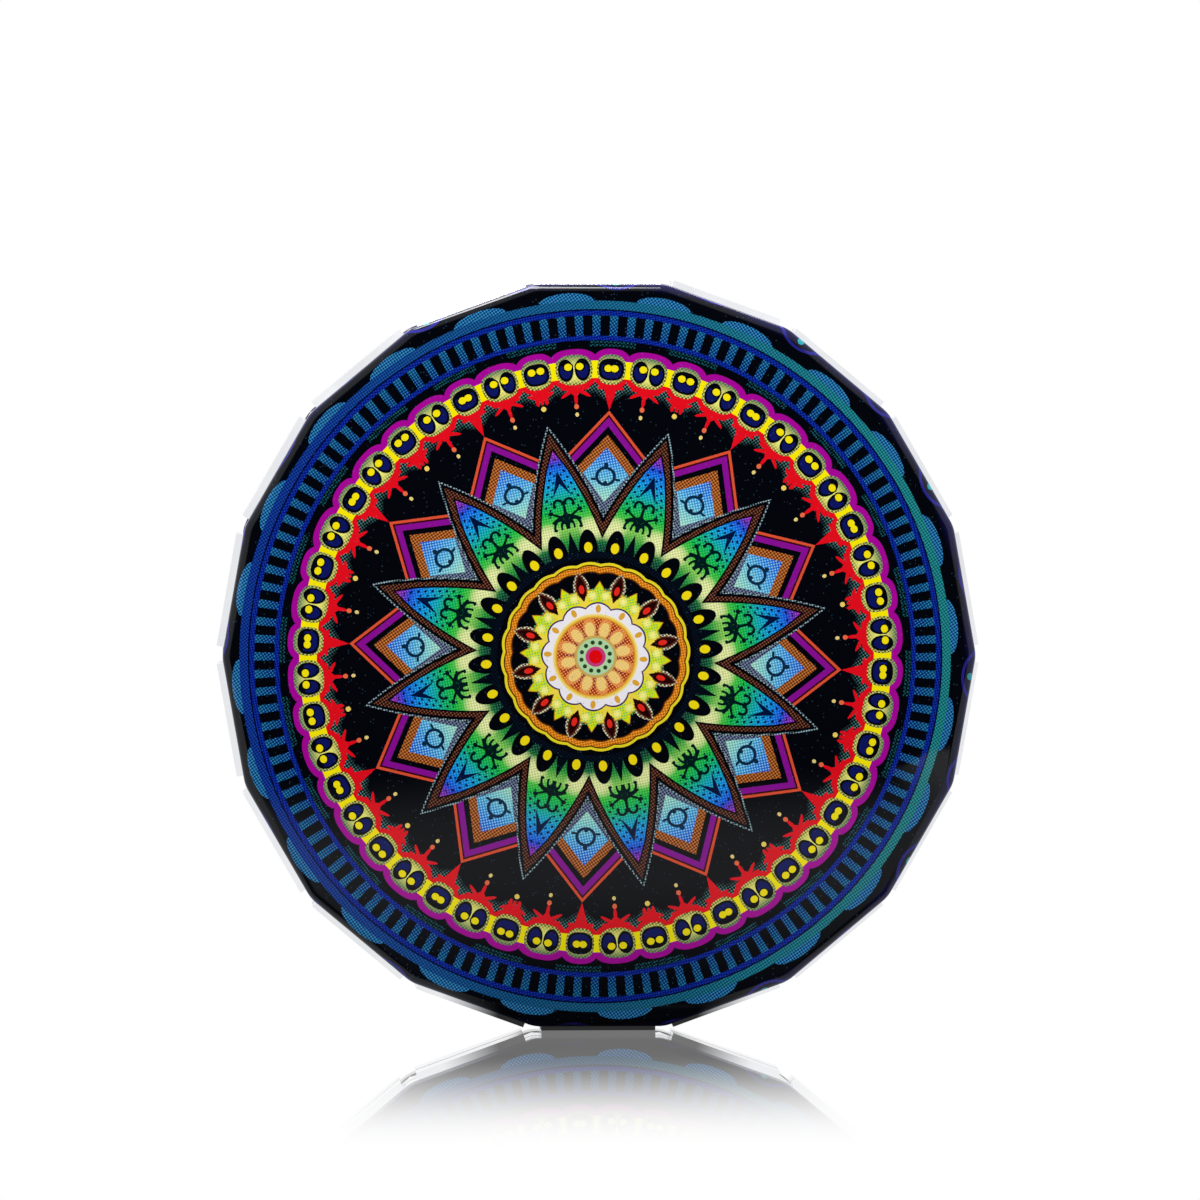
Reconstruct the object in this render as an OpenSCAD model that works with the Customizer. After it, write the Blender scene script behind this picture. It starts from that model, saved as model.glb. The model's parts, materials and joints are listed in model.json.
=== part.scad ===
// Folding pocket mirror: a printed front cover and a plain back cover on two metal frames, hinged at the top.
// It stands closed on its lowest lands, with the printed cover facing -Y and the floor at Z = 0.
// Each half is drawn on its back with the closing plane at Z = 0 and the hinge towards +Y, and is then stood up.

/* [Outline] */
// Number of flats around the rim
facets = 18; // [14, 18]
// Width of a cover across its flats
cover_flats = 70; // [64:1:80]
// How far the lands stand out from the cover's flats
land_proud = 0.65; // [0.5:0.05:0.9]
// Width of the notch between two lands
notch_width = 1.54; // [1:0.1:2.5]
// How far the slope at a land's outer end runs along the land
land_slope = 0.55; // [0.3:0.05:0.6]

/* [Depth of one half] */
// From the closing plane to the outside of the cover
half_depth = 7.6; // [7.4:0.1:9]
// Depth of the cover's wall
cover_depth = 3.6; // [3.4:0.1:4]
// Half of the gap left between the two closed frames
closing_gap = 0.2; // [0.15:0.05:0.3]

/* [Cover] */
// Thickness of the cover's sheet
cover_sheet = 0.5; // [0.4:0.05:0.6]
// Outer radius of the cover's rolled edge
edge_radius = 0.85; // [0.6:0.05:1.1]

/* [Mirrors] */
// Diameter of each mirror
mirror_diameter = 60; // [50:1:60]
// Thickness of the glass at its edge
glass_thickness = 1.8; // [1.6:0.1:2]
// Thickness of the foam pad that holds the glass
foam_thickness = 0.8; // [0.5:0.1:1]
// Radius of the hollow face of the enlarging mirror
enlarging_radius = 520; // [450:10:900]
// Width of the trim ring's lip over the glass
bezel_lip = 1.4; // [1:0.1:2.5]

/* [Hinge] */
// Outer radius of the knuckles
knuckle_radius = 1.2; // [1.1:0.05:1.3]
// Radius of the hinge pin
pin_radius = 0.6; // [0.5:0.05:0.7]
// Length of the whole hinge
hinge_length = 12; // [10:0.5:12]
// Slope of the relief that lets the halves swing apart, half of the widest opening angle
relief_angle = 60; // [50:1:62]

/* [Closing magnets] */
// Radius of each magnet
magnet_radius = 1.2; // [1:0.1:1.3]
// Length of each magnet
magnet_length = 1.4; // [1:0.1:2]
// Angle of each magnet from the bottom of the rim
magnet_angle = 20; // [10:1:40]

/* [Hidden] */
$fn = 96;

facet_angle = 360 / facets;
cover_apothem = cover_flats / 2;
land_apothem = cover_apothem + land_proud;
land_length = 2 * cover_apothem * tan(facet_angle / 2) - notch_width;
// Height of the cover's open edge, where the lands end
cover_edge = half_depth - cover_depth;
cover_inside = half_depth - cover_sheet;
// The frame's bare rim is a little inside the cover's flats, and its seat fits inside the cover
rim_apothem = cover_apothem - 0.1;
seat_apothem = cover_apothem - cover_sheet - 0.05;

bezel_low = closing_gap + 0.05;
bezel_thickness = 0.55;
glass_low = bezel_low + bezel_thickness;
foam_low = glass_low + glass_thickness;
floor_low = foam_low + foam_thickness;
floor_thickness = 1;
spacer_low = floor_low + floor_thickness;
mirror_radius = mirror_diameter / 2;
pocket_radius = mirror_radius + 0.2;
foam_radius = mirror_radius - 1;
bezel_radius = mirror_radius + 1.5;
bezel_recess_radius = bezel_radius + 0.1;
spacer_recess_radius = seat_apothem - 1.6;
spacer_radius = spacer_recess_radius - 0.2;

hinge_y = land_apothem - knuckle_radius - 0.05;
knuckle_clearance = 0.15;
outer_knuckle = hinge_length / 4;
middle_knuckle = hinge_length / 2 - 0.1;
pin_running_radius = pin_radius + 0.05;
relief_reach = 3;
relief_length = 24;

magnet_ring_radius = (bezel_recess_radius + rim_apothem) / 2;
magnet_recess = 0.05;
nail_slot_length = 10;
nail_slot_size = 1.3;
bumper_radius = 0.8;
bumper_height = 0.35;
bumper_ring_radius = bezel_radius - 1.3;

function rim_points(apothem) = [
    for (i = [0 : facets - 1])
        apothem / cos(facet_angle / 2) * [cos(i * facet_angle), sin(i * facet_angle)]
];

module prism(apothem, low, high) {
    translate([0, 0, low])
        linear_extrude(high - low)
            polygon(rim_points(apothem));
}

module disc(radius, low, high) {
    translate([0, 0, low])
        cylinder(r = radius, h = high - low);
}

module along_x(radius, start, end) {
    translate([start, hinge_y, 0])
        rotate([0, 90, 0])
            cylinder(r = radius, h = end - start);
}

// Stands a half up; the front half faces -Y
module front_half() {
    translate([0, 0, land_apothem])
        rotate([90, 0, 0])
            children();
}

module back_half() {
    front_half()
        mirror([0, 0, 1])
            children();
}

// Cross-section of the cover from one flat to the opposite one, with its two rolled edges
module cover_section() {
    translate([-cover_apothem, cover_edge])
        square([cover_flats, cover_depth - edge_radius]);
    translate([edge_radius - cover_apothem, cover_edge])
        square([cover_flats - 2 * edge_radius, cover_depth]);
    for (side = [-1, 1])
        translate([side * (cover_apothem - edge_radius), half_depth - edge_radius])
            circle(r = edge_radius);
}

module cover() {
    difference() {
        intersection_for(i = [0 : facets / 2 - 1])
            rotate((i + 0.5) * facet_angle)
                rotate([90, 0, 0])
                    linear_extrude(3 * cover_apothem, center = true)
                        cover_section();
        prism(cover_apothem - cover_sheet, cover_edge - 1, cover_inside);
    }
}

// Outline of the bare rim with its lands
module rim_outline() {
    land_root = 0.5;
    polygon(rim_points(rim_apothem));
    for (i = [0 : facets - 1])
        rotate((i + 0.5) * facet_angle)
            translate([rim_apothem - land_root, -land_length / 2])
                square([land_apothem - rim_apothem + land_root, land_length]);
}

// Slope at the outer end of each land, where the cover's edge meets it
module land_slopes() {
    slope_start = 0.1;
    reach = 2 * (land_apothem - rim_apothem - slope_start);
    side_clearance = 0.2;
    for (i = [0 : facets - 1])
        rotate((i + 0.5) * facet_angle)
            translate([rim_apothem + slope_start, land_length / 2 + side_clearance, cover_edge])
                rotate([90, 0, 0])
                    linear_extrude(land_length + 2 * side_clearance)
                        polygon([[0, 0], [reach, -2 * land_slope], [reach, 1], [0, 1]]);
}

// Wedge cut from both halves above the hinge line
module hinge_relief() {
    translate([-relief_length / 2, hinge_y, 0])
        rotate([90, 0, 90])
            linear_extrude(relief_length)
                polygon([[0, -1], [relief_reach, -1], [relief_reach, relief_reach * tan(relief_angle)], [0, 0]]);
}

module nail_slot() {
    translate([-nail_slot_length / 2, -land_apothem, 0])
        rotate([45, 0, 0])
            translate([0, -nail_slot_size / 2, -nail_slot_size / 2])
                cube([nail_slot_length, nail_slot_size, nail_slot_size]);
}

module at_magnets() {
    for (side = [-1, 1])
        rotate(side * magnet_angle - 90)
            translate([magnet_ring_radius, 0, bezel_low + magnet_recess])
                children();
}

module frame_body() {
    difference() {
        union() {
            translate([0, 0, closing_gap])
                linear_extrude(cover_edge - closing_gap)
                    rim_outline();
            prism(seat_apothem, closing_gap, cover_inside);
        }
        disc(bezel_recess_radius, 0, glass_low);
        disc(pocket_radius, 0, floor_low);
        disc(spacer_recess_radius, spacer_low, half_depth);
        land_slopes();
        hinge_relief();
        along_x(knuckle_radius + knuckle_clearance, -hinge_length / 2 - 0.15, hinge_length / 2 + 0.15);
        nail_slot();
        at_magnets()
            translate([0, 0, -1])
                cylinder(r = magnet_radius, h = magnet_length + 1);
    }
}

// A knuckle and the web that carries it on its own half
module knuckle(start, end, bore_radius) {
    web_thickness = knuckle_radius - 0.15;
    web_height = knuckle_radius + 0.8;
    difference() {
        union() {
            along_x(knuckle_radius, start, end);
            translate([start, hinge_y - web_thickness, 0])
                cube([end - start, web_thickness, web_height]);
        }
        along_x(bore_radius, start - 1, end + 1);
    }
}

module spacer() {
    disc(spacer_radius, spacer_low, cover_inside);
}

module foam() {
    disc(foam_radius, foam_low, floor_low);
}

module bezel() {
    difference() {
        disc(bezel_radius, bezel_low, glass_low);
        disc(mirror_radius - bezel_lip, 0, half_depth);
    }
}

module magnets() {
    at_magnets()
        cylinder(r = magnet_radius, h = magnet_length);
}

module front_cover() {
    color("midnightblue") front_half() cover();
}

module front_frame() {
    color("silver") front_half() {
        union() {
            frame_body();
            knuckle(-hinge_length / 2, -outer_knuckle, pin_radius);
            knuckle(outer_knuckle, hinge_length / 2, pin_radius);
        }
    }
}

module front_spacer() {
    color("tan") front_half() spacer();
}

module front_foam() {
    color("white") front_half() foam();
}

module plain_mirror() {
    color("lightblue") front_half() disc(mirror_radius, glass_low, foam_low);
}

module front_bezel() {
    color("gainsboro") front_half() bezel();
}

module front_magnets() {
    color("slategray") front_half() magnets();
}

module hinge_pin() {
    color("dimgray") front_half() along_x(pin_radius, -hinge_length / 2, hinge_length / 2);
}

module back_cover() {
    color("navy") back_half() cover();
}

module back_frame() {
    color("lightgray") back_half() {
        union() {
            frame_body();
            knuckle(outer_knuckle - middle_knuckle, middle_knuckle - outer_knuckle, pin_running_radius);
        }
    }
}

module back_spacer() {
    color("burlywood") back_half() spacer();
}

module back_foam() {
    color("whitesmoke") back_half() foam();
}

// Half of the glass's cross-section, hollowed by a large arc that just reaches the lip of the trim ring
module hollow_glass_section() {
    hollow_edge = mirror_radius - bezel_lip;
    arc_steps = 12;
    arc_drop = sqrt(enlarging_radius * enlarging_radius - hollow_edge * hollow_edge);
    hollow = [
        for (i = [0 : arc_steps])
            let (x = hollow_edge * i / arc_steps)
                [x, glass_low - arc_drop + sqrt(enlarging_radius * enlarging_radius - x * x)]
    ];
    polygon(concat(hollow, [[mirror_radius, glass_low], [mirror_radius, foam_low], [0, foam_low]]));
}

module enlarging_mirror() {
    color("powderblue") back_half()
        rotate_extrude()
            hollow_glass_section();
}

module back_bezel() {
    color("gainsboro") back_half() bezel();
}

module back_magnets() {
    color("slategray") back_half() magnets();
}

// Soft dots on the lower half of the back trim ring
module bumpers() {
    color("ivory") back_half()
        for (angle = [-150, -90, -30])
            rotate(angle)
                translate([bumper_ring_radius, 0, bezel_low - bumper_height])
                    cylinder(r = bumper_radius, h = bumper_height);
}

front_cover();
front_frame();
front_spacer();
front_foam();
plain_mirror();
front_bezel();
front_magnets();
hinge_pin();
back_cover();
back_frame();
back_spacer();
back_foam();
enlarging_mirror();
back_bezel();
back_magnets();
bumpers();
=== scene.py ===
"""A closed folding pocket mirror, standing on its edge on a glossy white floor.

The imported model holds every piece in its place. This script gives each piece its finish, softens the edges
of the sheet-metal covers and the plated frames, and sets the floor, the light and the camera.
"""
import json
import math

import bpy
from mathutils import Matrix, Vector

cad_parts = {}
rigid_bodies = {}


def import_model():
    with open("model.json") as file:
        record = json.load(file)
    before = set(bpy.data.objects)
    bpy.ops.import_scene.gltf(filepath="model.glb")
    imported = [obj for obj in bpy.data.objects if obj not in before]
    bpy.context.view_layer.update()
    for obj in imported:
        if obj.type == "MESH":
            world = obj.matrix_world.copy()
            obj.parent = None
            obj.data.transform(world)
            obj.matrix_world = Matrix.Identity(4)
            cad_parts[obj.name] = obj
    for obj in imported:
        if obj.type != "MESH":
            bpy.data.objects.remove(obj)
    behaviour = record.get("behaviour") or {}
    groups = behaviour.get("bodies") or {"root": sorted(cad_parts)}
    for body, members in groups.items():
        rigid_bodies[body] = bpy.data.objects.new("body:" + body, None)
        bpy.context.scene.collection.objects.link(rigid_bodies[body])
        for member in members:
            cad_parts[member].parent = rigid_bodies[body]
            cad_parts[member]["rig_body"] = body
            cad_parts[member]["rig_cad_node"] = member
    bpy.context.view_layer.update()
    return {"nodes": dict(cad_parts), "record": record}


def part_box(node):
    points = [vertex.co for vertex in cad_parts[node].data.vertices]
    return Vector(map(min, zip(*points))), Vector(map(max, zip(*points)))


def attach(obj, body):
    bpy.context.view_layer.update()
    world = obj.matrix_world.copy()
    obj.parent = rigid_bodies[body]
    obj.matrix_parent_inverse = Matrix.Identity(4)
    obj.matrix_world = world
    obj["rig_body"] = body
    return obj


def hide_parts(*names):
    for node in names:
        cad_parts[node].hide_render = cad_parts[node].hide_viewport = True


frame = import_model()

MM = 0.001
NODES = frame["nodes"]

# Sizes of the object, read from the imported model
low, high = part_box("front_cover")
COVER_FLATS = high.z - low.z
COVER_FRONT = low.y
COVER_EDGE = high.y
CENTRE_Z = (high.z + low.z) / 2
FACETS = 18
FACET_ANGLE = math.tau / FACETS


def srgb(red, green, blue):
    """A colour given as on a paint chart, 0 to 255, turned into the linear numbers that shaders take."""
    def linear(value):
        value = value / 255
        return value / 12.92 if value <= 0.04045 else ((value + 0.055) / 1.055) ** 2.4
    return (linear(red), linear(green), linear(blue), 1.0)


# ---------------------------------------------------------------- arithmetic on shader values

class Field:
    """A value that changes over a surface. Arithmetic on it adds Math nodes to its node tree."""

    def __init__(self, tree, socket):
        self.tree = tree
        self.socket = socket

    def math(self, operation, *others, clamp=False):
        node = self.tree.nodes.new("ShaderNodeMath")
        node.operation = operation
        node.use_clamp = clamp
        for slot, value in enumerate((self, *others)):
            if isinstance(value, Field):
                self.tree.links.new(value.socket, node.inputs[slot])
            else:
                node.inputs[slot].default_value = value
        return Field(self.tree, node.outputs[0])

    def __add__(self, other):
        return self.math("ADD", other)

    def __sub__(self, other):
        return self.math("SUBTRACT", other)

    def __mul__(self, other):
        return self.math("MULTIPLY", other)

    def __truediv__(self, other):
        return self.math("DIVIDE", other)

    def __gt__(self, other):
        return self.math("GREATER_THAN", other)

    def __lt__(self, other):
        return self.math("LESS_THAN", other)

    def __or__(self, other):
        """Two masks joined: 1 where either of them is 1."""
        return self.math("MAXIMUM", other)

    def times_plus(self, factor, offset):
        return self.math("MULTIPLY_ADD", factor, offset)

    def near(self, middle, reach):
        """1 where the value is within reach of middle, else 0."""
        return self.math("COMPARE", middle, reach)

    def between(self, start, end):
        return self.near((start + end) / 2, (end - start) / 2)

    def ramp(self, start, end, eased=False):
        """0 at start to 1 at end, held flat outside them."""
        node = self.tree.nodes.new("ShaderNodeMapRange")
        node.interpolation_type = "SMOOTHSTEP" if eased else "LINEAR"
        self.tree.links.new(self.socket, node.inputs["Value"])
        node.inputs["From Min"].default_value = start
        node.inputs["From Max"].default_value = end
        return Field(self.tree, node.outputs["Result"])


def oval_distance(u, v, centre, radii):
    """0 at the centre of an oval and 1 on its edge, squared in between."""
    across = u.times_plus(1 / radii[0], -centre[0] / radii[0])
    along = v.times_plus(1 / radii[1], -centre[1] / radii[1])
    return across.times_plus(across, along * along)


def oval(u, v, centre, radii):
    return oval_distance(u, v, centre, radii) < 1


def ovals(shapes):
    """Several ovals in one mask. Each is given by its distances u and v, its centre and its radii."""
    mask = oval(*shapes[0])
    for shape in shapes[1:]:
        mask |= oval(*shape)
    return mask


def hoop(u, v, centre, radii, line):
    """The outline of an oval, with line as a share of its size."""
    return oval_distance(u, v, centre, radii).near(1 - line, line)


def pointed_leaf(u, v, middle, half_width, half_length):
    """A leaf that is pointed at both ends, for u from 0 on its axis outwards."""
    reach = v.times_plus(1 / half_length, -middle / half_length)
    return (reach * reach).times_plus(-half_width, half_width) - u > 0


def squircle_distance(u, v, radii):
    """0 in the middle of a box with round corners and 1 on its edge."""
    squareness = 2.6
    across = (u / radii[0]).math("ABSOLUTE").math("POWER", squareness)
    along = (v / radii[1]).math("ABSOLUTE").math("POWER", squareness)
    return across + along


class Ink:
    """Layers of ink: each one covers what lies under it where its mask is 1."""

    def __init__(self, tree, ground):
        self.tree = tree
        self.colour = ground

    def mixed(self, first, second, factor):
        node = self.tree.nodes.new("ShaderNodeMix")
        node.data_type = "RGBA"
        self.tree.links.new(factor.socket, node.inputs["Factor"])
        for name, colour in (("A", first), ("B", second)):
            socket = [s for s in node.inputs if s.name == name and s.type == "RGBA"][0]
            if isinstance(colour, tuple):
                socket.default_value = srgb(*colour)
            else:
                self.tree.links.new(colour, socket)
        return [s for s in node.outputs if s.type == "RGBA"][0]

    def graded(self, value, start, end, stops):
        """A colour that runs through stops as value goes from start to end. A stop is (share, colour)."""
        node = self.tree.nodes.new("ShaderNodeValToRGB")
        self.tree.links.new(value.ramp(start, end).socket, node.inputs["Fac"])
        elements = node.color_ramp.elements
        while len(elements) < len(stops):
            elements.new(0.5)
        for element, (place, colour) in zip(elements, stops):
            element.position = place
            element.color = srgb(*colour)
        return node.outputs["Color"]

    def lay(self, colour, mask):
        self.colour = self.mixed(self.colour, colour, mask)


# ---------------------------------------------------------------- node groups that several finishes share

def new_group(name, inputs, outputs):
    group = bpy.data.node_groups.new(name, "ShaderNodeTree")
    for socket_name, kind, value in inputs:
        socket = group.interface.new_socket(socket_name, in_out="INPUT", socket_type=kind)
        if value is not None:
            socket.default_value = value
    for socket_name, kind in outputs:
        group.interface.new_socket(socket_name, in_out="OUTPUT", socket_type=kind)
    return group, group.nodes.new("NodeGroupInput"), group.nodes.new("NodeGroupOutput")


def handling_group():
    """Finger smudges and fine scratches, for anything glossy that is carried in a pocket."""
    group, source, sink = new_group(
        "handling",
        [("Vector", "NodeSocketVector", None), ("Base Roughness", "NodeSocketFloat", 0.1),
         ("Smudge", "NodeSocketFloat", 0.1), ("Scratch", "NodeSocketFloat", 0.2)],
        [("Roughness", "NodeSocketFloat"), ("Height", "NodeSocketFloat")],
    )
    smudges = group.nodes.new("ShaderNodeTexNoise")
    smudges.inputs["Scale"].default_value = 90
    smudges.inputs["Detail"].default_value = 5
    smudges.inputs["Roughness"].default_value = 0.6
    stretch = group.nodes.new("ShaderNodeMapping")
    stretch.inputs["Rotation"].default_value = (0.4, 0.7, 0.3)
    stretch.inputs["Scale"].default_value = (1, 14, 1)
    scratches = group.nodes.new("ShaderNodeTexNoise")
    scratches.inputs["Scale"].default_value = 420
    scratches.inputs["Detail"].default_value = 3
    for target in (smudges, stretch):
        group.links.new(source.outputs["Vector"], target.inputs["Vector"])
    group.links.new(stretch.outputs["Vector"], scratches.inputs["Vector"])
    smudge = Field(group, smudges.outputs["Fac"]).ramp(0.4, 0.75)
    scratch = Field(group, scratches.outputs["Fac"]).ramp(0.62, 0.72)
    amount = smudge * Field(group, source.outputs["Smudge"])
    depth = scratch * Field(group, source.outputs["Scratch"])
    roughness = amount + Field(group, source.outputs["Base Roughness"]) + depth * 0.2
    group.links.new(roughness.socket, sink.inputs["Roughness"])
    group.links.new((depth * -1).socket, sink.inputs["Height"])
    return group


SCREEN_PITCH = 0.25


def dot_screen_group():
    """The ink dots of one printing screen, a pitch apart: 0 between the dots and 1 in the middle of each."""
    group, source, sink = new_group(
        "dot_screen",
        [("Across", "NodeSocketFloat", 0.0), ("Along", "NodeSocketFloat", 0.0),
         ("Turn", "NodeSocketFloat", 0.0), ("Pitch", "NodeSocketFloat", SCREEN_PITCH)],
        [("Dots", "NodeSocketFloat")],
    )
    across, along, turn, pitch = (Field(group, source.outputs[i]) for i in range(4))
    cosine = turn.math("COSINE")
    sine = turn.math("SINE")
    rows = (across * cosine + along * sine) / pitch * math.tau
    columns = (along * cosine - across * sine) / pitch * math.tau
    dots = (rows.math("COSINE") + columns.math("COSINE")).ramp(-0.7, 1.3)
    group.links.new(dots.socket, sink.inputs["Dots"])
    return group


HANDLING = handling_group()
DOT_SCREEN = dot_screen_group()


# ---------------------------------------------------------------- the printed cover

PRINT_SHIFT_X = -0.41
PRINT_SHIFT_Z = -0.07
PRINT_TURN = math.radians(3.15)
REPEATS = 12
SECTOR = math.pi / REPEATS
PRINT_BLACK = (3, 5, 12)
RED = (232, 14, 30)

# Where the wall's print begins behind the face, in millimetres
WALL_START = 0.3
# The two printing screens' angles, in degrees
DOT_TURN = 34
CROSS_DOT_TURN = 12

# Places on the print, in millimetres from its middle
DIAMOND_TIP = 23.2
DIAMOND_FOOT = 14.6
PETAL_TIP = 22.2
TONGUE_TIP = 24.4
GROUND_EDGE = 26
BEAD_RING = 27.05
LADDER_INSIDE = 29.78
LADDER_OUTSIDE = 32.56
SCALLOP_FOOT = 32.7
SCALLOP_SHOULDER = 33.5


class PrintPlan:
    """Where a point lies on the print, in millimetres from its middle.

    The pattern repeats twelve times round, and each repeat is its own mirror image, so it is folded into a
    sector of 15 degrees, between the axis of a diamond and the axis of a petal. Each axis is given as the
    distances across it and along it.
    """

    def __init__(self, tree):
        self.tree = tree
        self.position = tree.nodes.new("ShaderNodeTexCoord")
        split = tree.nodes.new("ShaderNodeSeparateXYZ")
        tree.links.new(self.position.outputs["Object"], split.inputs[0])
        self.x = Field(tree, split.outputs["X"]).times_plus(1000, -PRINT_SHIFT_X)
        self.z = Field(tree, split.outputs["Z"]).times_plus(1000, -CENTRE_Z / MM - PRINT_SHIFT_Z)
        behind_face = Field(tree, split.outputs["Y"]).times_plus(1000, -COVER_FRONT / MM - WALL_START)
        flat_radius = self.x.times_plus(self.x, self.z * self.z).math("SQRT")
        # Past the face the print runs on down the wall, so depth counts as radius
        self.radius = flat_radius + behind_face.math("MAXIMUM", 0)
        self.rightness = (self.x / flat_radius).ramp(-0.8, 0.9)
        turn = self.x.math("ARCTAN2", self.z) - PRINT_TURN
        fold = turn.math("PINGPONG", SECTOR)
        self.degrees = fold * math.degrees(1)
        self.from_petal = fold.times_plus(-1, SECTOR)
        self.wave = (fold * REPEATS).math("SINE")
        self.ripple = (fold * (2 * REPEATS)).math("COSINE")
        self.diamond = self.axis(fold)
        self.petal = self.axis(self.from_petal)
        self.middle = self.axis(fold - SECTOR / 2)
        self.dots = self.screen(DOT_TURN)
        self.cross_dots = self.screen(CROSS_DOT_TURN)

    def axis(self, angle):
        """The distances across and along an axis that lies angle away."""
        return self.radius * angle.math("SINE"), self.radius * angle.math("COSINE")

    def screen(self, degrees):
        """The dots of one printing screen, turned by degrees."""
        node = self.tree.nodes.new("ShaderNodeGroup")
        node.node_tree = DOT_SCREEN
        self.tree.links.new(self.x.socket, node.inputs["Across"])
        self.tree.links.new(self.z.socket, node.inputs["Along"])
        node.inputs["Turn"].default_value = math.radians(degrees)
        node.inputs["Pitch"].default_value = SCREEN_PITCH
        return Field(self.tree, node.outputs["Dots"])


def lay_diamonds(ink, plan):
    """Diamonds behind the petals, nested from an orange line to a pale blue heart."""
    u, v = plan.diamond
    edge = ((v.times_plus(-0.855, DIAMOND_TIP * 0.855)) - u) * 0.76
    foot = (v.times_plus(0.81, -DIAMOND_FOOT * 0.81) - u) * 0.78
    ink.lay((226, 84, 52), edge.between(0, 0.25))
    ink.lay((60, 6, 14), edge.between(0.25, 0.42))
    ink.lay((139, 16, 150), edge.between(0.42, 0.97))
    ink.lay(PRINT_BLACK, edge > 0.97)
    ink.lay(ink.mixed((92, 40, 8), (222, 132, 64), plan.dots), edge > 1.47)
    ink.lay(ink.mixed((30, 34, 58), (134, 150, 184), plan.dots), edge > 2.26)
    heart = ink.graded(v, DIAMOND_FOOT, DIAMOND_FOOT + 5, [
        (0.0, (184, 244, 190)), (0.25, (140, 226, 214)), (0.5, (72, 184, 232)),
        (0.75, (30, 140, 236)), (1.0, (14, 86, 214)),
    ])
    heart = ink.mixed(heart, (4, 74, 176), plan.cross_dots.times_plus(-0.6, 0.42))
    heart = ink.mixed(heart, (206, 252, 255), plan.cross_dots.times_plus(1.1, -0.5))
    ink.lay(heart, (edge > 2.26) * (foot > 0))
    ink.lay(PRINT_BLACK, foot < -0.62)
    wreath = hoop(u, v, (0, 17.0), (0.98, 0.92), 0.25)
    buds = ovals((
        (u, v, (0, 18.05), (0.22, 0.26)), (u, v, (0, 16.35), (0.2, 0.24)), (u, v, (1.12, 16.7), (0.3, 0.12)),
    ))
    ink.lay((14, 44, 72), wreath | buds)


def lay_petals(ink, plan):
    """Petals, drawn in from their edge; they hide the foot of each diamond."""
    u, v = plan.petal
    back = v.times_plus(-1, PETAL_TIP)
    inside = ((back * back).times_plus(-0.01605, back * 0.526) - u) * 0.9
    thread = ink.mixed((16, 22, 32), (168, 200, 208), plan.cross_dots.times_plus(1.2, -0.2))
    ink.lay(thread, inside.between(0, 0.15))
    ink.lay(PRINT_BLACK, inside > 0.15)
    ink.lay(ink.mixed((30, 10, 6), (150, 90, 66), plan.dots.times_plus(1.3, -0.42)), inside > 0.38)
    leaf = ink.graded(v, 9, 20, [
        (0.0, (2, 16, 20)), (0.1, (4, 70, 40)), (0.2, (40, 160, 50)), (0.3, (150, 224, 90)),
        (0.37, (86, 214, 66)), (0.44, (16, 200, 60)), (0.53, (0, 190, 116)),
        (0.62, (0, 180, 200)), (0.71, (0, 160, 244)), (0.8, (6, 120, 246)),
        (0.86, (24, 62, 228)), (0.91, (124, 20, 204)), (1.0, (190, 14, 180)),
    ])
    blade = inside - v.ramp(18, 20.7) * 0.22
    ink.lay(PRINT_BLACK, blade > 0.78)
    in_leaf = blade > 0.93
    ink.lay(leaf, in_leaf)
    glow = oval_distance(u, plan.radius, (2.2, 12.1), (1.45, 1.25)).ramp(1, 0.1) * in_leaf
    ink.lay((250, 255, 176), glow)
    ink.lay((0, 70, 60), in_leaf * plan.cross_dots.times_plus(-0.6, 0.34))
    ink.lay((190, 255, 240), in_leaf * plan.cross_dots.times_plus(0.6, -0.44))
    ink.lay((2, 20, 60), side_beads(v, blade) | petal_arrow(u, v))
    ink.lay((0, 28, 30), petal_scrolls(u, v))


def side_beads(v, blade):
    """Two rows of dots along a petal's side: a long row, and a short one of smaller dots further in."""
    spacing = 0.63
    beads = oval(v.times_plus(1 / spacing, 0.32).math("FRACT"), blade, (0.5, 1.24), (0.2, 0.12))
    inner = oval(v.times_plus(1 / spacing, 0.82).math("FRACT"), blade, (0.5, 1.64), (0.17, 0.1))
    return (beads * v.between(14.0, 19.0)) | (inner * v.between(13.6, 17.6))


def petal_arrow(u, v):
    """An arrowhead in the petal's tip, with a notch in its foot."""
    return (v.times_plus(-0.36, 17.85 * 0.36) - u > 0) * (u.times_plus(1.4, v) > 16.6)


def petal_scrolls(u, v):
    """A stem with two curls at its top, arms with knobs, and four drooping arches."""
    rising = u.times_plus(-0.5, v)
    falling = u.times_plus(0.45, v)
    curls = hoop(u, v, (0.52, 14.75), (0.52, 0.5), 0.38) * (v > 14.6)
    arches = hoop(u, v, (0.66, 12.45), (0.7, 1.0), 0.28) | hoop(u, v, (0.34, 12.5), (0.36, 0.7), 0.4)
    stem_and_arms = ovals((
        (u, v, (0, 13.7), (0.15, 1.35)), (u, v, (0, 13.5), (0.3, 0.4)),
        (u, rising, (0.75, 13.28), (0.72, 0.13)), (u, v, (1.38, 13.98), (0.25, 0.2)),
        (u, falling, (0.7, 13.75), (0.6, 0.12)), (u, v, (1.2, 13.1), (0.2, 0.16)),
        (u, v, (0.9, 14.55), (0.17, 0.14)), (u, v, (1.2, 12.35), (0.19, 0.14)),
    ))
    return curls | (arches * (v > 12.3)) | stem_and_arms


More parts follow.
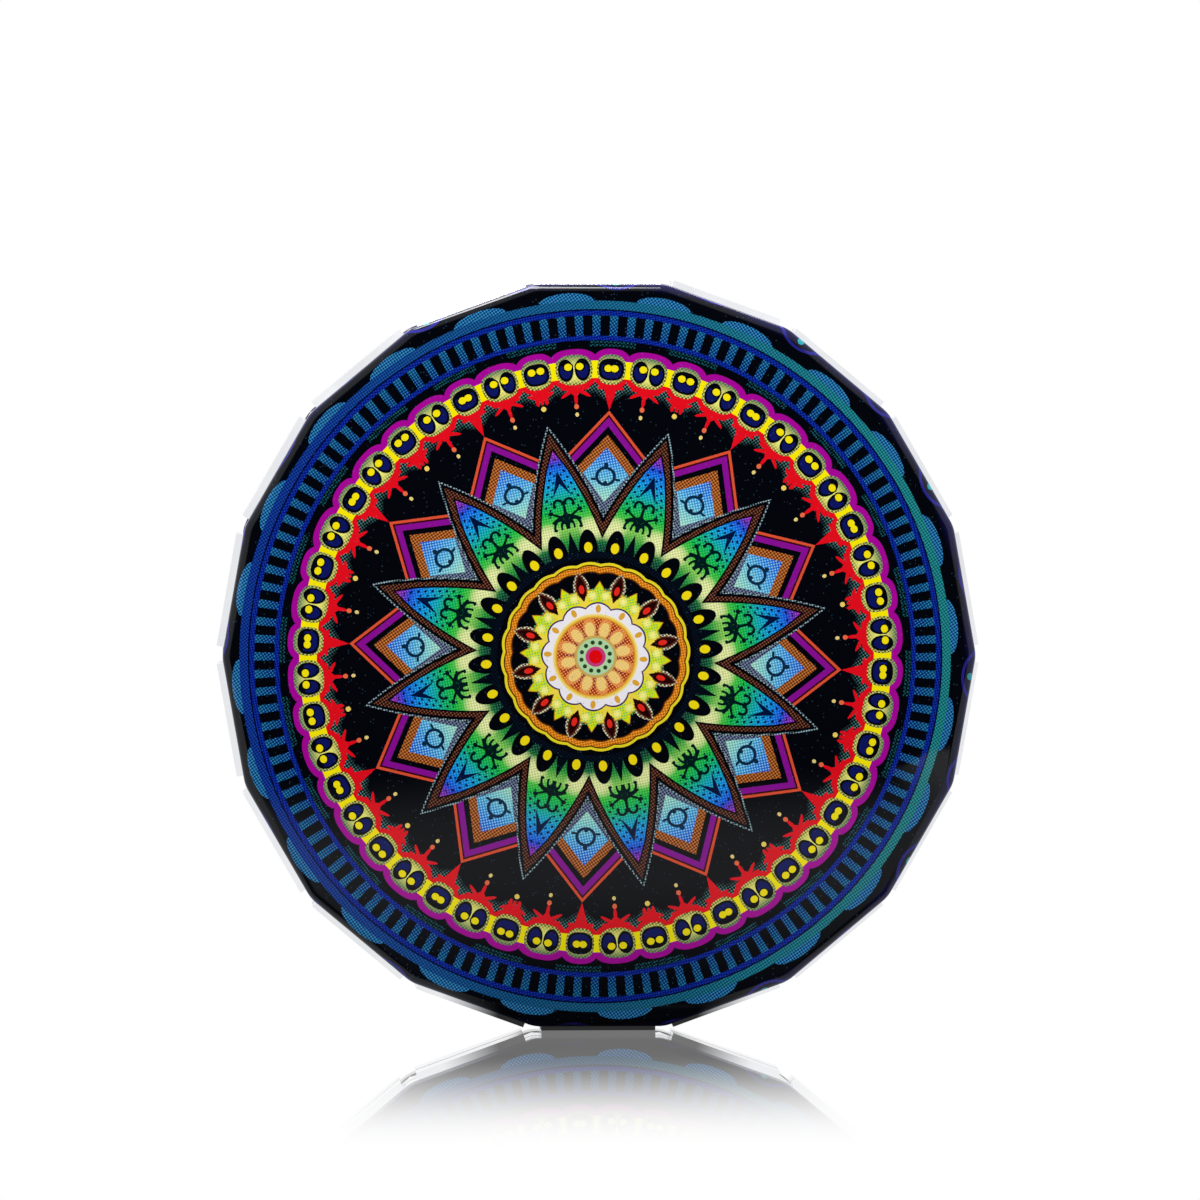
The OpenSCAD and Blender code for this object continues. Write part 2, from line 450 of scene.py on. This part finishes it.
def lay_petal_feet(ink, plan):
    """A dark wedge in the foot of each petal, and a dark dome with a yellow drop between two of them."""
    u, v = plan.petal
    ink.lay((3, 12, 22), v.times_plus(-0.25, 12.05 * 0.25) - u > 0)
    ink.lay(PRINT_BLACK, oval(plan.middle[0], plan.radius, (-0.09, 10.2), (0.88, 1.82)))
    ink.lay(ink.mixed(PRINT_BLACK, (8, 22, 40), plan.dots), plan.radius < 9.9)
    ink.lay((250, 226, 20), oval(plan.middle[0], plan.radius, (-0.09, 10.32), (0.39, 0.5)))


def lay_wavy_rings(ink, plan):
    """A yellow and an orange ring, each with a wave in it, round the sun."""
    ring = plan.wave.times_plus(-0.2, plan.radius)
    ink.lay(PRINT_BLACK, plan.radius < 9.3)
    ink.lay((240, 220, 40), ring.between(8.48, 8.74))
    ink.lay((74, 36, 6), ring.between(8.36, 8.48))
    ink.lay(ink.mixed((206, 96, 10), (252, 178, 52), plan.cross_dots), ring.between(7.86, 8.36))
    ink.lay((90, 44, 8), ring.between(7.74, 7.86))
    ink.lay(PRINT_BLACK, ring < 7.74)


def lay_sun(ink, plan):
    """Yellow rays, with a red seed in a pale shell on every petal's axis."""
    u, v = plan.petal
    radius, from_petal = plan.radius, plan.from_petal
    ink.lay(ink.mixed((96, 44, 34), (238, 246, 206), plan.dots), pointed_leaf(u, v, 6.6, 0.76, 1.5))
    ink.lay((86, 34, 22), pointed_leaf(u, v, 6.55, 0.54, 1.42))
    peak = radius - plan.degrees.ramp(4.5, 0) * 0.8
    ink.lay((196, 132, 40), (peak < 6.36) * (from_petal > math.radians(4.2)))
    sun = ink.mixed((250, 232, 44), (220, 236, 12), plan.degrees.ramp(8, 2))
    ink.lay(sun, (peak < 6.24) * (from_petal > math.radians(4.8)))
    ink.lay((250, 226, 80), radius < 5.75)
    ink.lay(sun, (radius < 5.95) * (from_petal > math.radians(3.6)))
    green = (radius < 6.5) * (radius > 5.2) * (from_petal > math.radians(5)) * (plan.cross_dots > 0.72)
    ink.lay((90, 196, 120), green)
    ink.lay((255, 252, 150), oval_distance(*plan.diamond, (0.62, 5.72), (0.5, 0.46)).ramp(1, 0))
    ink.lay((34, 6, 4), pointed_leaf(u, v, 6.5, 0.4, 1.25))
    ink.lay((238, 42, 30), oval(u, v, (0, 6.45), (0.25, 0.42)))


def lay_rosette(ink, plan):
    """White lace round a disc of orange leaves, with a red middle."""
    u, v = plan.petal
    radius = plan.radius
    lace = plan.degrees.math("POWER", 2).times_plus(0.0021, radius)
    ink.lay((70, 40, 96), lace < 5.16)
    ink.lay((250, 246, 254), lace < 5.0)
    ink.lay((232, 172, 52), oval(*plan.diamond, (0, 4.52), (0.24, 0.38)))
    disc = ink.graded(radius, 1.8, 4.06, [
        (0.0, (112, 92, 110)), (0.4, (150, 70, 60)), (0.6, (196, 50, 26)), (0.78, (214, 96, 30)),
        (0.88, (248, 200, 60)), (1.0, (255, 246, 170)),
    ])
    ink.lay(disc, radius < 4.06)
    ink.lay((130, 20, 24), (radius < 3.6) * plan.dots.times_plus(-0.9, 0.6))
    ink.lay((236, 140, 70), oval(u, v, (0, 2.75), (0.6, 0.98)))
    ink.lay((252, 220, 130), oval(u, v, (0, 2.62), (0.46, 0.7)))
    ink.lay((250, 186, 110), (radius < 3.6) * (radius > 1.75) * (plan.dots > 0.8))
    ink.lay((212, 176, 92), radius < 2.0)
    ink.lay((184, 224, 172), radius < 1.75)
    ink.lay((40, 74, 36), oval(u, v, (0, 1.36), (0.2, 0.2)))
    ink.lay((206, 60, 130), radius < 0.95)
    ink.lay((236, 8, 16), radius < 0.64)


def lay_tongues(ink, plan):
    """Red tongues that hang from the chain of beads into the dark ground, and loose dots below them."""
    diamond_u, diamond_v = plan.diamond
    petal_u, petal_v = plan.petal
    middle_v = plan.middle[1]
    middle_u = plan.middle[0].math("ABSOLUTE")
    ground = plan.radius < GROUND_EDGE
    tongues = diamond_v.times_plus(0.3, -DIAMOND_TIP * 0.3) - diamond_u > 0
    tongues *= plan.radius.between(DIAMOND_TIP, GROUND_EDGE)
    tongues |= (middle_v.times_plus(0.8, -TONGUE_TIP * 0.8) - middle_u > 0) * ground
    tongues |= (petal_v.times_plus(0.95, -TONGUE_TIP * 0.95) - petal_u > 0) * ground
    drooping = middle_u.times_plus(0.62, middle_v)
    lifted = petal_u.times_plus(-0.35, petal_v)
    tongues |= ovals((
        (middle_u, drooping, (0.62, 25.35), (0.78, 0.2)), (middle_u, middle_v, (0.72, 25.3), (0.66, 0.16)),
        (middle_u, middle_v, (0, 24.4), (0.17, 0.62)), (petal_u, lifted, (0.55, 24.75), (0.72, 0.2)),
        (petal_u, petal_v, (0.42, 24.6), (0.19, 0.5)), (petal_u, petal_v, (0, 24.6), (0.17, 0.42)),
        (diamond_u, diamond_v, (0.75, 25.3), (0.5, 0.16)),
    ))
    patches = plan.ripple.ramp(0.3, 0.9)
    haze = (plan.radius + patches * 0.6).ramp(24.7, 25.5) * (plan.dots > 0.5) * ground
    ink.lay((96, 156, 150), haze * 0.8)
    ink.lay(RED, tongues)
    ink.lay((238, 110, 70), oval(middle_u, middle_v, (0, 23.6), (0.22, 0.24)))
    ink.lay((238, 214, 130), oval(middle_u, middle_v, (0, 22.85), (0.17, 0.2)))
    ink.lay((244, 214, 100), oval(petal_u, petal_v, (0, 23.78), (0.24, 0.24)))


def lay_bead_chain(ink, plan):
    """A chain of beads: single ones on the diamonds' and petals' axes, and a pair between each two."""
    first = plan.degrees < 3.3
    last = plan.degrees > 11.6
    between_them = first.times_plus(-1, 1) * last.times_plus(-1, 1)
    cell_middle = last * 15 + between_them * 7.45
    cell_reach = first * -0.4 + last * -0.36 + 1.74
    along = (plan.degrees - cell_middle) * (BEAD_RING * math.radians(1))
    level = plan.radius - BEAD_RING
    cell = squircle_distance(along / cell_reach, level, (1, 1.42))
    band = level.between(-2.05, 2.15)
    outside = cell > 1
    ink.lay(RED, band * outside * (level < -0.5) * (cell < 1.95))
    ink.lay((168, 8, 152), outside * (level > 0.5) * (cell < 2.3) * band)
    ink.lay((255, 238, 4), outside * (level.math("ABSOLUTE") < 0.82))
    shade = cell.ramp(0.1, 0.95) * plan.dots.times_plus(-1.0, 1.08)
    olive = ink.mixed((240, 238, 124), (14, 44, 34), shade)
    olive = ink.mixed(olive, (44, 112, 100), level.ramp(0.1, 1.3) * 0.6)
    ink.lay(olive, cell < 1)
    single = squircle_distance(along, level, (1.2, 1.04))
    pair = oval_distance(along.math("ABSOLUTE"), level, (0.79, 0), (0.74, 1.06))
    bead = pair * between_them + single * between_them.times_plus(-1, 1)
    ink.lay((4, 6, 16), bead < 1)
    ink.lay((14, 22, 96), (bead < 0.55) * (level < 0.45))
    spot_reach = between_them * 0.24 + last * 0.12 + 0.3
    spot_level = first * -0.2 + 0.3
    spot = oval_distance(along.math("ABSOLUTE") - spot_reach, level - spot_level, (0, 0), (0.36, 0.33))
    ink.lay((4, 6, 16), spot < 1.9)
    ink.lay((252, 232, 16), spot < 1)


def lay_ladder(ink, plan):
    """Fine dashes, then two blue lines with bars between them."""
    radius, dots = plan.radius, plan.dots
    dashes = (radius.near(29.32, 0.1) + radius.near(29.62, 0.1)) * (dots > 0.45)
    dashes = dashes * ((plan.degrees < 4.2) + (plan.degrees > 10.4))
    ink.lay((22, 92, 102), dashes)
    blue = ink.mixed((3, 15, 104), (18, 56, 176), plan.cross_dots)
    ink.lay(blue, radius.between(LADDER_INSIDE, LADDER_OUTSIDE))
    start, end = LADDER_INSIDE + 0.42, LADDER_OUTSIDE - 0.46
    bars = ink.graded(radius, start, end, [(0.0, (6, 46, 140)), (0.5, (10, 70, 140)), (1.0, (20, 96, 148))])
    bars = ink.mixed(bars, (2, 16, 76), dots.times_plus(-1.0, 0.72))
    bars = ink.mixed(bars, (72, 186, 200), dots.times_plus(1.2, -0.7))
    ink.lay(bars, radius.between(start, end))
    ink.lay(PRINT_BLACK, radius.between(start, end) * (plan.degrees / 3).math("FRACT").near(0.5, 0.27))
    ink.lay((2, 6, 40), radius.between(LADDER_OUTSIDE, SCALLOP_FOOT))


def lay_scallops(ink, plan):
    """A scalloped band, which runs from blue on the left to green on the right."""
    radius = plan.radius
    crest = (((plan.degrees - 7.9) / 4.4).math("POWER", 2).times_plus(-1, 1)).math("MAXIMUM", 0).math("SQRT")
    scallop = radius.between(SCALLOP_FOOT, SCALLOP_SHOULDER)
    scallop |= radius.between(33.4, 34.3) * (radius - crest * 0.78 < SCALLOP_SHOULDER)
    sea = ink.mixed((4, 24, 108), (6, 88, 100), plan.rightness)
    sea_light = ink.mixed((26, 74, 164), (48, 158, 156), plan.rightness)
    ink.lay(ink.mixed(sea, sea_light, plan.dots), scallop)
    ink.lay(ink.mixed((2, 44, 104), (58, 150, 200), plan.dots), scallop * (radius > SCALLOP_SHOULDER))


def lay_wall_loops(ink, plan):
    """Loops and dots that run over the rolled edge and down the wall."""
    fringe = (plan.radius + plan.wave * 0.25).ramp(34.9, 35.7) * plan.dots.times_plus(0.5, 0.35)
    ink.lay((22, 18, 84), fringe)
    loops = hoop(*plan.diamond, (0, 36.6), (2.7, 2.05), 0.12) | hoop(*plan.petal, (0, 37.4), (2.6, 2.4), 0.1)
    ink.lay((36, 34, 128), loops)
    ink.lay((24, 18, 70), oval(*plan.petal, (0, 37.6), (1.9, 1.9)))
    ink.lay((30, 140, 150), oval(*plan.diamond, (0, 35.5), (0.36, 0.4)))
    ink.lay((70, 60, 150), hoop(*plan.diamond, (0, 36.9), (1.5, 0.9), 0.12))


def lay_specks(ink, plan):
    """Stray specks of ink over the whole sheet."""
    tree = plan.tree
    specks = tree.nodes.new("ShaderNodeTexVoronoi")
    specks.inputs["Scale"].default_value = 3800
    tree.links.new(plan.position.outputs["Object"], specks.inputs["Vector"])
    speck = Field(tree, specks.outputs["Distance"]) < 0.24
    chosen = tree.nodes.new("ShaderNodeSeparateColor")
    tree.links.new(specks.outputs["Color"], chosen.inputs[0])
    rare = Field(tree, chosen.outputs[0]) < 0.16
    ink.lay((60, 96, 120), speck * rare * 0.32)


def print_colour(tree):
    """The cover's print: a star of petals in rings of beads, bars and scallops, twelve times round."""
    plan = PrintPlan(tree)
    ink = Ink(tree, PRINT_BLACK)
    for lay_layer in (
        lay_diamonds, lay_petals, lay_petal_feet, lay_wavy_rings, lay_sun, lay_rosette,
        lay_tongues, lay_bead_chain, lay_ladder, lay_scallops, lay_wall_loops, lay_specks,
    ):
        lay_layer(ink, plan)
    return ink.colour


# ---------------------------------------------------------------- finishes

def new_finish(name, **sockets):
    """A material with a Principled surface, its plain values set on the surface's own sockets."""
    material = bpy.data.materials.new(name)
    material.use_nodes = True
    tree = material.node_tree
    surface = tree.nodes["Principled BSDF"]
    for socket, value in sockets.items():
        surface.inputs[socket.replace("_", " ")].default_value = value
    return material, tree, surface


def add_handling(tree, surface, base, smudge, scratch, bump=0.02):
    """Handling marks in a finish's roughness, with its scratches as relief too."""
    position = tree.nodes.new("ShaderNodeTexCoord")
    wear = tree.nodes.new("ShaderNodeGroup")
    wear.node_tree = HANDLING
    tree.links.new(position.outputs["Object"], wear.inputs["Vector"])
    wear.inputs["Base Roughness"].default_value = base
    wear.inputs["Smudge"].default_value = smudge
    wear.inputs["Scratch"].default_value = scratch
    tree.links.new(wear.outputs["Roughness"], surface.inputs["Roughness"])
    relief = tree.nodes.new("ShaderNodeBump")
    relief.inputs["Strength"].default_value = bump
    relief.inputs["Distance"].default_value = 0.02 * MM
    tree.links.new(wear.outputs["Height"], relief.inputs["Height"])
    tree.links.new(relief.outputs["Normal"], surface.inputs["Normal"])
    return position


def mottle(tree, surface, position, dark, light, scale, detail=4):
    """Slow colour variation between two colours."""
    noise = tree.nodes.new("ShaderNodeTexNoise")
    noise.inputs["Scale"].default_value = scale
    noise.inputs["Detail"].default_value = detail
    tree.links.new(position.outputs["Object"], noise.inputs["Vector"])
    share = Field(tree, noise.outputs["Fac"]).ramp(0.3, 0.7)
    tree.links.new(Ink(tree, dark).mixed(dark, light, share), surface.inputs["Base Color"])


def printed_tin():
    material, tree, surface = new_finish(
        "printed_tin", Coat_Weight=0.55, Coat_Roughness=0.03, Specular_IOR_Level=0.0,
    )
    tree.links.new(print_colour(tree), surface.inputs["Base Color"])
    add_handling(tree, surface, 0.32, 0.1, 0.15)
    return material


def lacquered_tin():
    material, tree, surface = new_finish(
        "lacquered_tin", Coat_Weight=0.8, Coat_Roughness=0.03, Specular_IOR_Level=0.2,
    )
    position = add_handling(tree, surface, 0.34, 0.2, 0.3)
    flakes = tree.nodes.new("ShaderNodeTexVoronoi")
    flakes.inputs["Scale"].default_value = 3400
    tree.links.new(position.outputs["Object"], flakes.inputs["Vector"])
    clouds = tree.nodes.new("ShaderNodeTexNoise")
    clouds.inputs["Scale"].default_value = 70
    clouds.inputs["Detail"].default_value = 5
    tree.links.new(position.outputs["Object"], clouds.inputs["Vector"])
    ink = Ink(tree, (4, 7, 24))
    ink.lay((10, 15, 44), Field(tree, clouds.outputs["Fac"]).ramp(0.35, 0.7))
    ink.lay((52, 78, 128), Field(tree, flakes.outputs["Distance"]).ramp(0.26, 0.1) * 0.5)
    tree.links.new(ink.colour, surface.inputs["Base Color"])
    return material


def plated(name, tone, base, smudge):
    material, tree, surface = new_finish(name, Metallic=1.0)
    position = add_handling(tree, surface, base, smudge, 0.5, bump=0.08)
    mottle(tree, surface, position, tone, tuple(min(255, c + 10) for c in tone), 150)
    return material


def mirror_glass():
    material, tree, surface = new_finish("mirror_glass", Metallic=1.0)
    position = add_handling(tree, surface, 0.01, 0.03, 0.05, bump=0.0)
    mottle(tree, surface, position, (233, 238, 238), (240, 244, 243), 30)
    return material


def matt(name, dark, light, scale, roughness, bump):
    material, tree, surface = new_finish(name)
    position = add_handling(tree, surface, roughness, 0.1, 0.2, bump=bump)
    mottle(tree, surface, position, dark, light, scale, 8)
    return material


def silicone():
    material, tree, surface = new_finish("silicone", Subsurface_Weight=0.3, Subsurface_Radius=(MM, MM, MM))
    position = add_handling(tree, surface, 0.42, 0.15, 0.1, bump=0.2)
    mottle(tree, surface, position, (206, 206, 198), (226, 226, 218), 400)
    return material


FINISHES = {
    "printed_tin": printed_tin(),
    "lacquered_tin": lacquered_tin(),
    "plated_frame": plated("plated_frame", (226, 227, 230), 0.16, 0.12),
    "plated_trim": plated("plated_trim", (218, 219, 223), 0.07, 0.08),
    "mirror_glass": mirror_glass(),
    "card": matt("card", (142, 124, 98), (176, 156, 126), 900, 0.85, 0.5),
    "foam": matt("foam", (222, 222, 214), (240, 240, 234), 1500, 0.9, 0.8),
    "magnet": plated("magnet", (176, 177, 180), 0.24, 0.12),
    "steel_pin": plated("steel_pin", (160, 160, 164), 0.2, 0.1),
    "silicone": silicone(),
}


def finish_piece(piece, slot):
    piece.data.materials.clear()
    piece.data.materials.append(FINISHES[slot])


for part in frame["record"]["subparts"]:
    finish_piece(NODES[part["node"]], part["material_slot"])


# ---------------------------------------------------------------- pieces with finer shapes than the model's

SHEET = 0.5 * MM
CORNER_EASE = 0.55 * MM
ROLLED_EDGE = 0.85 * MM
RIM_EASE = 0.08 * MM
GLASS_SIDES = 128
GLASS_RINGS = 14
GLASS_MARGIN = 1.4 * MM
GLASS_BALL_RADIUS = 520 * MM


def only(piece):
    """Makes piece the one selected and active object."""
    bpy.ops.object.select_all(action="DESELECT")
    piece.select_set(True)
    bpy.context.view_layer.objects.active = piece


def apply_modifier(piece, name, kind, **settings):
    modifier = piece.modifiers.new(name, kind)
    for setting, value in settings.items():
        setattr(modifier, setting, value)
    only(piece)
    bpy.ops.object.modifier_apply(modifier=modifier.name)


def pick_edges(piece, wanted):
    """Selects, in edit mode, the edges whose two end points pass wanted."""
    bpy.ops.object.mode_set(mode="EDIT")
    bpy.ops.mesh.select_mode(type="EDGE")
    bpy.ops.mesh.select_all(action="DESELECT")
    bpy.ops.object.mode_set(mode="OBJECT")
    points = piece.data.vertices
    for edge in piece.data.edges:
        edge.select = wanted(*(points[i].co for i in edge.vertices))
    bpy.ops.object.mode_set(mode="EDIT")


def pressed_cover(name, node, front, open_edge):
    """A cover pressed from sheet: eighteen flats with eased corners and a rolled edge round its face."""
    apothem = COVER_FLATS / 2
    bpy.ops.object.select_all(action="DESELECT")
    bpy.ops.mesh.primitive_cylinder_add(
        vertices=FACETS, radius=apothem / math.cos(FACET_ANGLE / 2), depth=abs(front - open_edge),
        location=(0, (front + open_edge) / 2, CENTRE_Z), rotation=(math.pi / 2, FACET_ANGLE / 2, 0),
    )
    piece = bpy.context.object
    piece.name = name
    bpy.ops.object.transform_apply(location=True, rotation=True, scale=True)
    bpy.ops.object.mode_set(mode="EDIT")
    bpy.ops.mesh.select_mode(type="FACE")
    bpy.ops.mesh.select_all(action="DESELECT")
    bpy.ops.object.mode_set(mode="OBJECT")
    for face in piece.data.polygons:
        face.select = abs(face.center.y - open_edge) < 0.01 * MM
    bpy.ops.object.mode_set(mode="EDIT")
    bpy.ops.mesh.delete(type="FACE")
    pick_edges(piece, lambda a, b: abs(a.y - b.y) > 1 * MM)
    bpy.ops.mesh.bevel(offset=CORNER_EASE, segments=4, affect="EDGES")
    pick_edges(piece, lambda a, b: max(abs(a.y - front), abs(b.y - front)) < 0.01 * MM)
    bpy.ops.mesh.bevel(offset=ROLLED_EDGE, segments=7, affect="EDGES")
    bpy.ops.mesh.select_all(action="SELECT")
    bpy.ops.mesh.normals_make_consistent(inside=False)
    bpy.ops.object.mode_set(mode="OBJECT")
    apply_modifier(piece, "sheet", "SOLIDIFY", thickness=SHEET, offset=-1)
    only(piece)
    bpy.ops.object.shade_smooth_by_angle(angle=math.radians(25))
    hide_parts(node)
    return piece


def eased_copy(name, node):
    """A copy of a machined or cast piece with its sharp edges broken."""
    only(NODES[node])
    bpy.ops.object.duplicate()
    piece = bpy.context.object
    piece.name = name
    piece.parent = None
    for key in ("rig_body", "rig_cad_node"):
        if key in piece:
            del piece[key]
    bpy.ops.object.mode_set(mode="EDIT")
    bpy.ops.mesh.select_all(action="SELECT")
    bpy.ops.mesh.remove_doubles(threshold=0.001 * MM)
    bpy.ops.mesh.dissolve_limited(angle_limit=math.radians(1))
    bpy.ops.object.mode_set(mode="OBJECT")
    bpy.ops.object.shade_smooth_by_angle(angle=math.radians(50))
    apply_modifier(piece, "eased", "BEVEL", width=RIM_EASE, segments=2, limit_method="ANGLE",
                   angle_limit=math.radians(40), use_clamp_overlap=True)
    apply_modifier(piece, "even_flats", "WEIGHTED_NORMAL", keep_sharp=True, weight=100)
    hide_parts(node)
    return piece


def hollow_glass(name, node):
    """A round glass whose face is ground hollow, which enlarges what it shows."""
    lowest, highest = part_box(node)
    radius = (highest.x - lowest.x) / 2
    bpy.ops.object.select_all(action="DESELECT")
    bpy.ops.mesh.primitive_circle_add(
        vertices=GLASS_SIDES, radius=radius, fill_type="NGON",
        location=(0, highest.y, (lowest.z + highest.z) / 2), rotation=(math.pi / 2, 0, 0),
    )
    piece = bpy.context.object
    piece.name = name
    bpy.ops.object.transform_apply(location=True, rotation=True, scale=True)
    bpy.ops.object.mode_set(mode="EDIT")
    bpy.ops.mesh.select_all(action="SELECT")
    bpy.ops.mesh.extrude_region_move(TRANSFORM_OT_translate={"value": (0, lowest.y - highest.y, 0)})
    bpy.ops.mesh.inset(thickness=GLASS_MARGIN, depth=0)
    hollow = radius - GLASS_MARGIN
    step = hollow / (GLASS_RINGS + 1)
    for ring in range(GLASS_RINGS):
        outer = hollow - ring * step
        bpy.ops.mesh.inset(thickness=step, depth=0)
        sunk = (outer ** 2 - (outer - step) ** 2) / (2 * GLASS_BALL_RADIUS)
        bpy.ops.transform.translate(value=(0, sunk, 0))
    bpy.ops.mesh.select_all(action="SELECT")
    bpy.ops.mesh.normals_make_consistent(inside=False)
    bpy.ops.object.mode_set(mode="OBJECT")
    bpy.ops.object.shade_smooth_by_angle(angle=math.radians(30))
    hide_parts(node)
    return piece


def add_piece(piece, slot, body):
    finish_piece(piece, slot)
    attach(piece, body)


add_piece(pressed_cover("printed_cover", "front_cover", COVER_FRONT, COVER_EDGE), "printed_tin", "front_half")
add_piece(pressed_cover("plain_cover", "back_cover", -COVER_FRONT, -COVER_EDGE), "lacquered_tin", "back_half")
add_piece(eased_copy("front_rim", "front_frame"), "plated_frame", "front_half")
add_piece(eased_copy("back_rim", "back_frame"), "plated_frame", "back_half")
add_piece(hollow_glass("hollow_mirror", "enlarging_mirror"), "mirror_glass", "back_half")


# ---------------------------------------------------------------- floor, light and camera

FLOOR_FRONT = -0.3
FLOOR_BACK = 1.6
FLOOR_WIDTH = 2.4
CAMERA_DISTANCE = 0.85
CAMERA_TURN = math.radians(-2.3)
CAMERA_LIFT = math.radians(2.3)
VIEW_WIDTH = 112.9 * MM
VIEW_RISE = 5.27 * MM


def floor_seen(tree, across, along):
    """The floor as the camera sees it: white, with a reflection of the object that fades to all sides."""
    mirrored = along.ramp(-0.128, -0.03, eased=True).math("POWER", 1.5) * along.ramp(0.05, 0.012, eased=True)
    mirrored = mirrored * across.ramp(0.156, 0.05, eased=True) * 0.85
    white = tree.nodes.new("ShaderNodeEmission")
    white.inputs["Color"].default_value = (1, 1, 1, 1)
    shine = tree.nodes.new("ShaderNodeBsdfGlossy")
    shine.inputs["Roughness"].default_value = 0.0
    shine.inputs["Color"].default_value = (1, 1, 1, 1)
    seen = tree.nodes.new("ShaderNodeMixShader")
    tree.links.new(mirrored.socket, seen.inputs["Fac"])
    tree.links.new(white.outputs[0], seen.inputs[1])
    tree.links.new(shine.outputs[0], seen.inputs[2])
    return seen.outputs[0]


def floor_reflected(tree, across, along):
    """The floor as the object's own gloss sees it, with painted shade: a painted shadow where the object
    stands and painted dimness straight in front of it.
    """
    glow = tree.nodes.new("ShaderNodeEmission")
    # Painted shadow: the floor's glow is cut down beneath the object and in a cone ahead of it, and half of
    # it comes back further ahead
    painted_shade_ahead = along.ramp(-0.012, -0.024, eased=True) * (along * 0.1 + across).ramp(0.052, 0.044)
    painted_shadow_beneath = across.ramp(0.016, 0.01) * along.ramp(-0.03, -0.02) * along.ramp(0.005, 0.0)
    haze = along.ramp(-0.3, -0.15, eased=True) * along.ramp(-0.02, -0.12, eased=True) * painted_shade_ahead * 0.5
    bright = (painted_shade_ahead | painted_shadow_beneath).times_plus(-0.97, 1)
    tree.links.new((bright + haze).socket, glow.inputs["Strength"])
    return glow.outputs[0]


def glossy_floor():
    """A white glossy floor, wide enough to fill the view."""
    bpy.ops.object.select_all(action="DESELECT")
    bpy.ops.mesh.primitive_plane_add(size=1, location=(0, (FLOOR_BACK + FLOOR_FRONT) / 2, 0))
    floor = bpy.context.object
    floor.scale = (FLOOR_WIDTH, FLOOR_BACK - FLOOR_FRONT, 1)
    bpy.ops.object.transform_apply(location=True, rotation=True, scale=True)
    floor.name = "floor"
    material = bpy.data.materials.new("white_floor")
    material.use_nodes = True
    tree = material.node_tree
    tree.nodes.clear()
    position = tree.nodes.new("ShaderNodeTexCoord")
    split = tree.nodes.new("ShaderNodeSeparateXYZ")
    tree.links.new(position.outputs["Object"], split.inputs[0])
    across = Field(tree, split.outputs["X"]).math("ABSOLUTE")
    along = Field(tree, split.outputs["Y"])
    rays = tree.nodes.new("ShaderNodeLightPath")
    blend = tree.nodes.new("ShaderNodeMixShader")
    output = tree.nodes.new("ShaderNodeOutputMaterial")
    tree.links.new(rays.outputs["Is Camera Ray"], blend.inputs["Fac"])
    tree.links.new(floor_reflected(tree, across, along), blend.inputs[1])
    tree.links.new(floor_seen(tree, across, along), blend.inputs[2])
    tree.links.new(blend.outputs[0], output.inputs["Surface"])
    floor.data.materials.append(material)


def studio_world():
    """White all round, but for a dark room behind the camera, which keeps the print's blacks deep."""
    world = bpy.data.worlds.new("studio")
    bpy.context.scene.world = world
    world.use_nodes = True
    tree = world.node_tree
    tree.nodes.clear()
    direction = tree.nodes.new("ShaderNodeTexCoord")
    split = tree.nodes.new("ShaderNodeSeparateXYZ")
    tree.links.new(direction.outputs["Generated"], split.inputs[0])
    room = Field(tree, split.outputs["Y"]).ramp(-0.94, -0.79).times_plus(0.98, 0.02)
    rays = tree.nodes.new("ShaderNodeLightPath")
    seen = Field(tree, rays.outputs["Is Camera Ray"])
    background = tree.nodes.new("ShaderNodeBackground")
    background.inputs["Color"].default_value = (1, 1, 1, 1)
    output = tree.nodes.new("ShaderNodeOutputWorld")
    tree.links.new((seen | room).socket, background.inputs["Strength"])
    tree.links.new(background.outputs[0], output.inputs["Surface"])


def soft_light(name, place, size, watts):
    """A soft box aimed at the middle of the object."""
    data = bpy.data.lights.new(name, "AREA")
    data.shape = "RECTANGLE"
    data.size, data.size_y = size
    data.energy = watts
    light = bpy.data.objects.new(name, data)
    bpy.context.collection.objects.link(light)
    light.location = place
    aim = Vector((0, 0, CENTRE_Z)) - light.location
    light.rotation_euler = aim.to_track_quat("-Z", "Y").to_euler()


def studio_camera():
    """A camera a little to the left of the object and a little above its middle."""
    data = bpy.data.cameras.new("camera")
    camera = bpy.data.objects.new("camera", data)
    bpy.context.collection.objects.link(camera)
    camera.location = (
        CAMERA_DISTANCE * math.sin(CAMERA_TURN) * math.cos(CAMERA_LIFT),
        -CAMERA_DISTANCE * math.cos(CAMERA_TURN) * math.cos(CAMERA_LIFT),
        CENTRE_Z + CAMERA_DISTANCE * math.sin(CAMERA_LIFT),
    )
    target = Vector((0, COVER_FRONT, CENTRE_Z + VIEW_RISE))
    aim = target - camera.location
    camera.rotation_euler = aim.to_track_quat("-Z", "Y").to_euler()
    data.sensor_width = 36
    data.lens = data.sensor_width * aim.length / VIEW_WIDTH
    data.clip_start = 0.01
    bpy.context.scene.camera = camera


glossy_floor()
studio_world()
soft_light("top_light", (-0.1, -0.04, 0.62), (0.6, 0.16), 6.6)
soft_light("edge_light", (0, 0.6, 0.65), (0.6, 0.12), 3)
studio_camera()
bpy.context.scene.view_settings.view_transform = "Standard"
